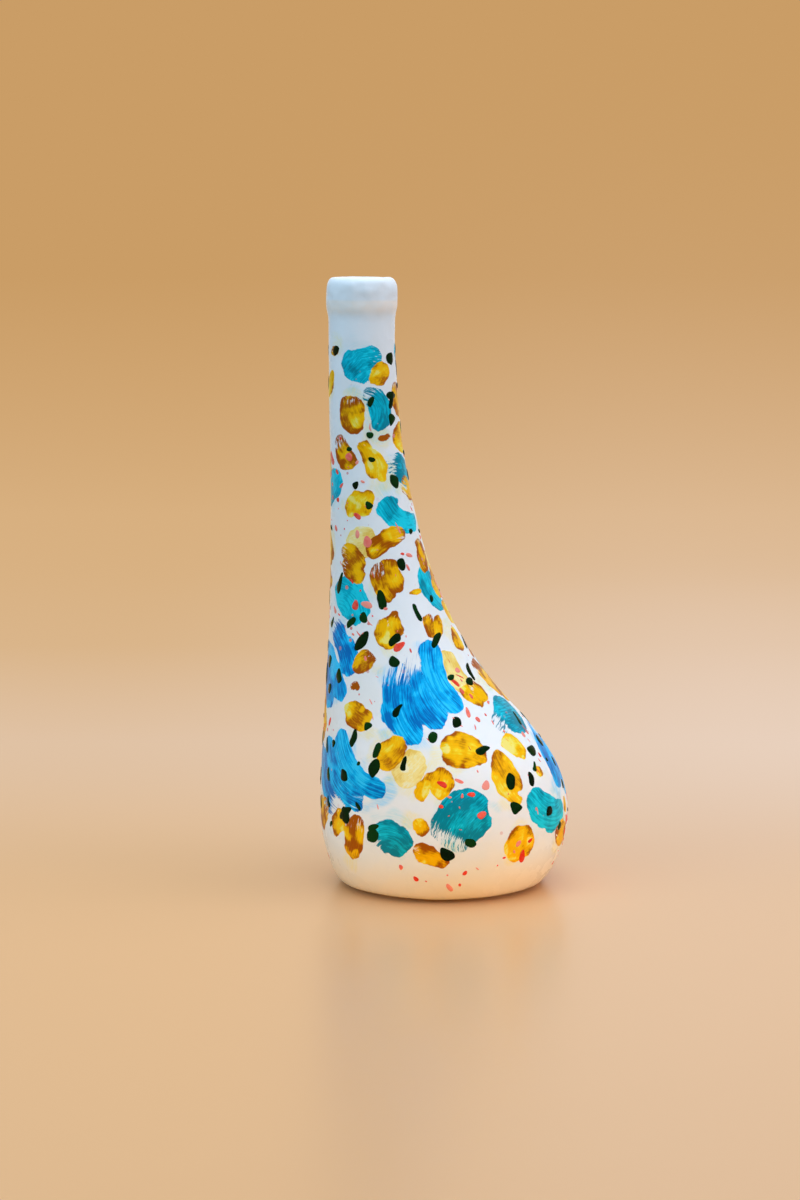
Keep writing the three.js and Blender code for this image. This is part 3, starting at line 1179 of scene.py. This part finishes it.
place = add(drops, "GeometryNodeInputPosition")
rise = parts(place)["Z"]
cloud = {
    "Vector": vector_maths("ADD", place, given["Scatter Seed"]),
    "Scale": maths("DIVIDE", 1, given["Patch Size"]),
    "Detail": PATCH_DETAIL,
}
level = minus(add(drops, "ShaderNodeTexNoise", cloud), given["Patch Level"])
allowed = times(
    ramp(level, *PATCH_FADE),
    maths("GREATER_THAN", named(drops, "blue_edge"), given["Blue Gap"]),
    maths("GREATER_THAN", rise, given["Low Edge"]),
    maths("LESS_THAN", rise, given["High Edge"]),
)
fall = {
    "Mesh": outside,
    "Distance Min": given["Spacing"],
    "Density Max": maths("DIVIDE", 1, maths("POWER", given["Spacing"], 2)),
    "Density Factor": allowed,
    "Seed": given["Scatter Seed"],
}
scatter = add_node(drops, "GeometryNodeDistributePointsOnFaces", fall, distribute_method="POISSON").outputs
print("drops fall by", len(drops.nodes), "nodes")

# %% How the drops lie
THICKNESS_SHARES = (0.6, 1.0)
SPLASH_SIZE = 5
SPLASH_REACH = 2.6
SINK = 0.04


def draw(low, high, turn):
    """A number of chance for each drop. Each use takes a turn of its own."""
    inputs = {"Min": low, "Max": high, "Seed": plus(given["Scatter Seed"], turn)}
    return add(drops, "FunctionNodeRandomValue", inputs, data_type="FLOAT")


def on_nearest(value):
    """What the wall holds at the place that is nearest to a point of a dome."""
    inputs = {"Mesh": outside, "Value": value, "Sample Position": place}
    return add(drops, "GeometryNodeSampleNearestSurface", inputs, "Value", data_type="FLOAT_VECTOR")


axes = {"Primary Axis": scatter["Normal"], "Secondary Axis": UP}
upright = add(drops, "FunctionNodeAxesToRotation", axes, primary_axis="Z", secondary_axis="Y")
aim = maths("MULTIPLY_ADD", draw(-1.0, 1.0, 1), given["Spread"], given["Heading"])
spin = add(drops, "FunctionNodeAxisAngleToRotation", {"Axis": UP, "Angle": aim})
spun = {"Rotation": upright, "Rotate By": spin}
turned = add(drops, "FunctionNodeRotateRotation", spun, rotation_space="LOCAL")
large_share = maths("POWER", draw(0.0, 1.0, 2), given["Rarity"])
width = maths("MULTIPLY_ADD", minus(given["Largest"], given["Smallest"]), large_share, given["Smallest"])
length = times(width, draw(given["Shortest"], given["Slimmest"], 3))
thick = times(given["Thickness"], draw(*THICKNESS_SHARES, 4))
tinted = store(scatter["Points"], "tint", draw(0.0, 1.0, 5))
copies = {
    "Points": store(tinted, "thick", thick),
    "Instance": given["Geometry"],
    "Rotation": turned,
    "Scale": joined(width, length, 1.0),
}
placed = add(drops, "GeometryNodeInstanceOnPoints", copies)
real = add(drops, "GeometryNodeRealizeInstances", {"Geometry": placed})
wobbled = move(real, Offset=chance_push(place, 1 / (SPLASH_SIZE * MM), SPLASH_REACH * MM, 0.0))
lift = minus(times(named(drops, "dome"), named(drops, "thick")), SINK * MM)
raised = scaled(on_nearest(add(drops, "GeometryNodeInputNormal")), lift)
seated = move(wobbled, Position=vector_maths("ADD", on_nearest(place), raised))
rounded = add(drops, "GeometryNodeSetShadeSmooth", {"Geometry": seated})
close_tree(rounded, given["Enamel Material"])

# %% Flick the drops on
green_enamel = bpy.data.materials.new("dark green enamel")
coral_enamel = bpy.data.materials.new("coral enamel")
# Sizes in millimetres and angles in degrees. Smallest and largest are half widths, and shortest and slimmest
# are lengths in widths. A higher rarity makes large drops rarer. Drops lie in patches, and a lower level
# makes the patches wider. The gap keeps drops off the blue sweeps. Far below zero, it lets them lie there.
LENGTHS = ("Spacing", "Smallest", "Largest", "Thickness", "Patch_Size", "Low_Edge", "High_Edge")
ANGLES = ("Heading", "Spread")
GREEN = dict(finish=green_enamel, sides=20, Rarity=1.0, Blue_Gap=-20)
CORAL = dict(finish=coral_enamel, sides=12, taper=0.2, waist=0.0, Patch_Size=38, Blue_Gap=1)
FLICKS = {
    "green_drops": dict(
        GREEN, taper=0.14, waist=0.0, Spacing=9.5, Smallest=0.9, Largest=3.1, Shortest=1.0, Slimmest=1.7,
        Heading=-20, Spread=70, Thickness=0.45, Patch_Size=40, Patch_Level=0.41, Low_Edge=24, High_Edge=251,
        Scatter_Seed=3,
    ),
    "green_dashes": dict(
        GREEN, taper=0.2, waist=0.12, Spacing=14, Smallest=1.4, Largest=2.1, Shortest=1.9, Slimmest=2.9,
        Heading=-22, Spread=45, Thickness=0.4, Patch_Size=44, Patch_Level=0.4, Low_Edge=26, High_Edge=250,
        Scatter_Seed=5,
    ),
    "coral_drops": dict(
        CORAL, Spacing=4.2, Smallest=0.3, Largest=1.9, Rarity=2.2, Shortest=1.0, Slimmest=2.2,
        Heading=20, Spread=60, Thickness=0.25, Patch_Level=0.51, Low_Edge=8, High_Edge=249,
        Scatter_Seed=8,
    ),
    "coral_flicks": dict(
        CORAL, Spacing=7.0, Smallest=0.2, Largest=0.42, Rarity=1.0, Shortest=4, Slimmest=9,
        Heading=30, Spread=25, Thickness=0.1, Patch_Level=0.52, Low_Edge=30, High_Edge=251,
        Scatter_Seed=21,
    ),
}


def flick(name, finish, sides, taper, waist, **sizes):
    piece = bpy.data.objects.new(name, drop_dome(sides, taper, waist))
    scene.collection.objects.link(piece)
    sizes |= {label: sizes[label] * MM for label in LENGTHS}
    sizes |= {label: math.radians(sizes[label]) for label in ANGLES}
    sizes |= dict(Belly_Object=sections["belly"], Neck_Object=sections["neck"], Enamel_Material=finish)
    run_tree(piece, drops, **sizes)
    faces_each = sides * len(DOME_RINGS) + 1
    print(name, len(piece.data.polygons) // faces_each, "drops")
    return piece


enamel = {name: flick(name, **sizes) for name, sizes in FLICKS.items()}

# %% Enamel
ENAMEL_SHINE = 0.06
TINT_SHARE = 0.7
CLOUD_SHARE = 0.5
CLOUD_SCALE = 0.6
CLOUD_RANGE = (0.3, 0.7)
DEEP_TO_THIN = (0.15, 1.0)
DULLEST = 0.08


def dress_enamel(material, thin, deep, gloss):
    tree = open_nodes(material)
    tint = add(tree, "ShaderNodeAttribute", output="Fac", attribute_name="tint")
    cloudy = noise(in_millimetres(tree), CLOUD_SCALE)
    share = plus(times(tint, TINT_SHARE), times(cloudy, CLOUD_SHARE))
    colour = mix(ramp(share, *DEEP_TO_THIN), linear(deep), linear(thin))
    rough = ramp(cloudy, *CLOUD_RANGE, gloss, gloss + DULLEST)
    close_material(tree, Base_Color=colour, Roughness=rough, Specular_IOR_Level=ENAMEL_SHINE)
    print(material.name + ":", len(tree.nodes), "nodes")


dress_enamel(green_enamel, thin="083A12", deep="021608", gloss=0.1)
dress_enamel(coral_enamel, thin="FF9C8A", deep="F0341C", gloss=0.2)

# %% [markdown]
# ## Stage
# The cruet stands on a seamless sheet of sand-coloured paper. The sheet could be lit by lamps of its own, but
# they would also light the cruet, so the far part of it shows painted light and shade to the camera through
# Light Path
# instead: darker higher up the sweep, and a pale painted glow low down on the right. It shows a paler sheen
# to reflections on the floor. The light that the sheet throws back comes from the paper round the foot, and
# it warms the lower half of the belly. Out of the camera's view, the tones fade to a plain one.

# %% Paper sweep
PAPER_HALF_WIDTH = 3.0
PAPER_FRONT = -3.0
PAPER_BACK = 1.15
PAPER_BEND = 0.55
PAPER_TOP = 2.2
BEND_STEPS = 15

sweep = [(PAPER_FRONT, 0.0, PAPER_FRONT)]
for a in np.linspace(0, math.pi / 2, BEND_STEPS + 1):
    bend_run = PAPER_BACK + PAPER_BEND * a
    sweep.append((PAPER_BACK + PAPER_BEND * math.sin(a), PAPER_BEND * (1 - math.cos(a)), bend_run))
sweep.append((PAPER_BACK + PAPER_BEND, PAPER_TOP, bend_run + PAPER_TOP - PAPER_BEND))
paper_points = [(x, y, z) for y, z, _ in sweep for x in (-PAPER_HALF_WIDTH, PAPER_HALF_WIDTH)]
paper_faces = [(2 * i, 2 * i + 1, 2 * i + 3, 2 * i + 2) for i in range(len(sweep) - 1)]
paper_mesh = bpy.data.meshes.new("paper_sweep")
paper_mesh.from_pydata(paper_points, [], paper_faces)
paper_mesh.shade_smooth()
paper_runs = [run for _, _, run in sweep for _ in range(2)]
paper_mesh.attributes.new("run", "FLOAT", "POINT").data.foreach_set("value", paper_runs)
paper_sweep = bpy.data.objects.new("paper_sweep", paper_mesh)
scene.collection.objects.link(paper_sweep)
print("paper sweep:", len(paper_faces), "faces")

# %% Paper
FLOOR_TONE = linear("E2AA76")
FLOOR_ROUGHNESS = 0.3
BOUNCE_NEAR = linear("FFBE66")
BOUNCE_FAR = linear("505A66")
BOUNCE_REACH = (0.12, 0.5)
# Painted shade: the far paper darkens with the distance along the sheet, in metres. Painted light makes it
# paler on the right, low down.
PAPER_LIGHT_AND_SHADE = {0.36: "E0C2A4", 0.75: "DAB58A", 1.35: "D8B080", 1.7: "CA9D66"}
PALE_PAINTED_LIGHT = linear("F2E0D6")
PALE_LIGHT_RUN = (0.36, 2.0, 0.45, 0.0)
SIDE_REACH = 0.25
LEFT_SHEEN = linear("FFE2B8")
RIGHT_SHEEN = linear("FFFAF4")
FAR_START = (-0.05, 0.36)
PLAIN_TONE = linear("C99D6E")
PLAIN_SIDES = (0.9, 2.2)
PLAIN_FRONT = (-0.4, -1.5)
PLAIN_RIM = (0.5, 1.3)


def seen_directly(tree):
    """One for the rays that show the background: those of the camera, of reflections and of glass."""
    path = tree.nodes.new("ShaderNodeLightPath").outputs
    shown = maths("MAXIMUM", path["Is Camera Ray"], path["Is Glossy Ray"])
    return maths("MAXIMUM", shown, path["Is Transmission Ray"])


def light_and_shade_along(run):
    """The painted light and shade at a distance along the sheet."""
    first, last = min(PAPER_LIGHT_AND_SHADE), max(PAPER_LIGHT_AND_SHADE)
    share = ramp(run, first, last, style="LINEAR")
    tones = add_node(run.id_data, "ShaderNodeValToRGB", {"Fac": share})
    stops = tones.color_ramp.elements
    while len(stops) < len(PAPER_LIGHT_AND_SHADE):
        stops.new(1.0)
    for stop, (distance, code) in zip(stops, PAPER_LIGHT_AND_SHADE.items()):
        stop.position = (distance - first) / (last - first)
        stop.color = linear(code)
    return tones.outputs["Color"]


def dress_paper(material):
    tree = open_nodes(material)
    run = add(tree, "ShaderNodeAttribute", output="Fac", attribute_name="run")
    place = add(tree, "ShaderNodeTexCoord", output="Object")
    across = parts(place)["X"]
    rightness = ramp(across, -SIDE_REACH, SIDE_REACH)
    # Painted light and shade along the sheet, with a painted pale glow low down on the right.
    tone = mix(times(rightness, ramp(run, *PALE_LIGHT_RUN)), light_and_shade_along(run), PALE_PAINTED_LIGHT)
    behind = ramp(run, *FAR_START)
    mirrored = times(add(tree, "ShaderNodeLightPath", output="Is Glossy Ray"), behind)
    tone = mix(mirrored, tone, mix(rightness, LEFT_SHEEN, RIGHT_SHEEN))
    aside = ramp(maths("ABSOLUTE", across), *PLAIN_SIDES)
    tone = mix(maths("MAXIMUM", aside, ramp(run, *PLAIN_FRONT)), tone, PLAIN_TONE)
    far = add(tree, "ShaderNodeEmission", {"Color": tone, "Strength": 1.0})
    floor_looks = {"Base Color": FLOOR_TONE, "Roughness": FLOOR_ROUGHNESS}
    floor = add(tree, "ShaderNodeBsdfPrincipled", floor_looks)
    distance = vector_maths("LENGTH", place, output="Value")
    faded = maths("MAXIMUM", behind, ramp(distance, *PLAIN_RIM))
    shown = add(tree, "ShaderNodeMixShader", {0: faded, 1: floor, 2: far})
    bounce = mix(ramp(distance, *BOUNCE_REACH), BOUNCE_NEAR, BOUNCE_FAR)
    thrown = add(tree, "ShaderNodeBsdfDiffuse", {"Color": bounce})
    both = add(tree, "ShaderNodeMixShader", {0: seen_directly(tree), 1: thrown, 2: shown})
    add(tree, "ShaderNodeOutputMaterial", {"Surface": both})


paper = bpy.data.materials.new("sand paper")
dress_paper(paper)
paper_mesh.materials.append(paper)
print("paper:", len(paper.node_tree.nodes), "nodes")

# %% [markdown]
# ## Light
# Big soft boxes stand above and on both sides, tinted cool as in the photograph. Only the top one shows in
# reflections, because the sides of the satin glaze show no bright squares. A dim warm strip near the floor
# lights the foot, and a dim world fills the shadows.

# %% Lamps
AIM = (0, 0, 0.13)
FOOT_AIM = (0, 0, 0.035)
WORLD_TINT = (0.7, 0.88, 1.0, 1.0)
WORLD_STRENGTH = 0.4
# One row for each lamp: its place and size in metres, its power in watts and its tint.
LAMPS = {
    "top_box": dict(
        place=(0.1, -0.05, 1.5), size=(1.4, 1.4), power=20, tint=(0.75, 0.84, 1.0), mirrored=True
    ),
    "right_box": dict(place=(1.4, -0.5, 0.6), size=(1.0, 1.2), power=9.8, tint=(0.7, 0.79, 1.0)),
    "left_box": dict(place=(-1.3, -0.9, 0.8), size=(1.2, 1.2), power=12.8, tint=(0.32, 0.66, 1.0)),
    "foot_strip": dict(
        place=(0.1, -0.8, 0.06), size=(0.9, 0.1), power=0.06, tint=(1.0, 0.5, 0.1), aim=FOOT_AIM, spread=14
    ),
}


def softbox(name, place, size, power, tint, aim=AIM, spread=180, mirrored=False):
    lamp = bpy.data.lights.new(name, "AREA")
    lamp.shape = "RECTANGLE"
    lamp.size, lamp.size_y = size
    lamp.energy = power
    lamp.color = tint
    lamp.spread = math.radians(spread)
    holder = bpy.data.objects.new(name, lamp)
    holder.location = place
    holder.rotation_euler = (Vector(aim) - Vector(place)).to_track_quat("-Z", "Y").to_euler()
    holder.visible_camera = False
    holder.visible_glossy = mirrored
    scene.collection.objects.link(holder)


def studio_world():
    """A dim world that fills the shadows, and a plain tone where the camera looks past the paper."""
    world = bpy.data.worlds.new("studio")
    tree = open_nodes(world)
    fill = add(tree, "ShaderNodeBackground", {"Color": WORLD_TINT, "Strength": WORLD_STRENGTH})
    plain = add(tree, "ShaderNodeBackground", {"Color": PLAIN_TONE, "Strength": 1.0})
    both = add(tree, "ShaderNodeMixShader", {0: seen_directly(tree), 1: fill, 2: plain})
    add(tree, "ShaderNodeOutputWorld", {"Surface": both})
    return world


for name, looks in LAMPS.items():
    softbox(name, **looks)
scene.world = studio_world()

# %% [markdown]
# ## Hand over
# Every dressed section stands in for its solid, which is hidden, and rides on the only body. The drops of
# enamel ride along.

# %% Tie the pieces to the frame
for name, piece in sections.items():
    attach(piece, "root")
    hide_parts(name)

for piece in enamel.values():
    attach(piece, "root")
